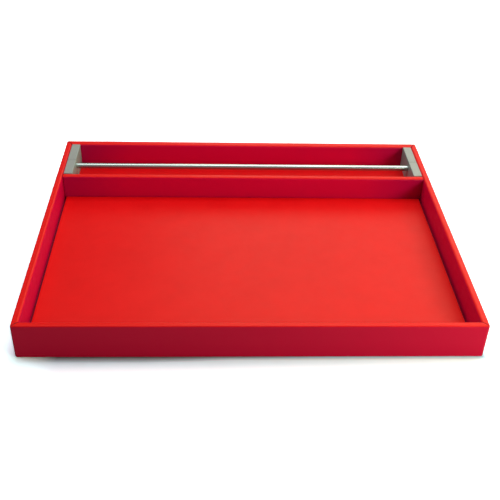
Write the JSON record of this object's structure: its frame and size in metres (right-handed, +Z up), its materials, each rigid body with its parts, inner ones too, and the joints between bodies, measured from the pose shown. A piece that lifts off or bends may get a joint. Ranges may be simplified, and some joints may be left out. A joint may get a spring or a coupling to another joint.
{
  "type": "presentation tray",
  "caption": "Shallow leather-covered tray: a wide open compartment and, behind a partition, a narrow one with a turning rod held between metal end blocks.",
  "frame": {"origin": "middle of the tray's footprint, on the surface that it stands on", "axes": "+X to the right along the tray's width, +Y from the front wall to the rod's compartment at the back, +Z up"},
  "size_m": [0.4, 0.32, 0.0345],
  "materials": {
    "red_leather": "satin, fine grain",
    "base_lining": "suede-like nap",
    "board": "raw fibreboard",
    "stained_board": "red-stained fibreboard",
    "block_aluminium": "bead-blasted satin",
    "rod_steel": "polished",
    "screw_steel": "plain"
  },
  "bodies": {
    "tray": {"base_liner": "base_lining", "base_board": "stained_board", "front_wall_board": "board", "front_wall_leather": "red_leather", "back_wall_board": "board", "back_wall_leather": "red_leather", "left_wall_board": "board", "left_wall_leather": "red_leather", "right_wall_board": "board", "right_wall_leather": "red_leather", "partition_board": "board", "partition_leather": "red_leather", "main_floor_board": "board", "main_floor_leather": "red_leather", "rear_floor_board": "board", "rear_floor_leather": "red_leather"},
    "rod_carrier": {"left_block_front": "block_aluminium", "left_block_rear": "block_aluminium", "right_block_front": "block_aluminium", "right_block_rear": "block_aluminium", "block_screws": "screw_steel"},
    "rod": {"cross_rod": "rod_steel"}
  },
  "joints": [
    {"name": "carrier_lift", "type": "slide", "parent": "tray", "child": "rod_carrier", "axis": [0, 0, 1], "range_m": [0, 0.04]},
    {"name": "rod_spin", "type": "hinge", "parent": "rod_carrier", "child": "rod", "pos_m": [0, 0.1175, 0.0264], "axis": [1, 0, 0], "continuous": true}
  ]
}
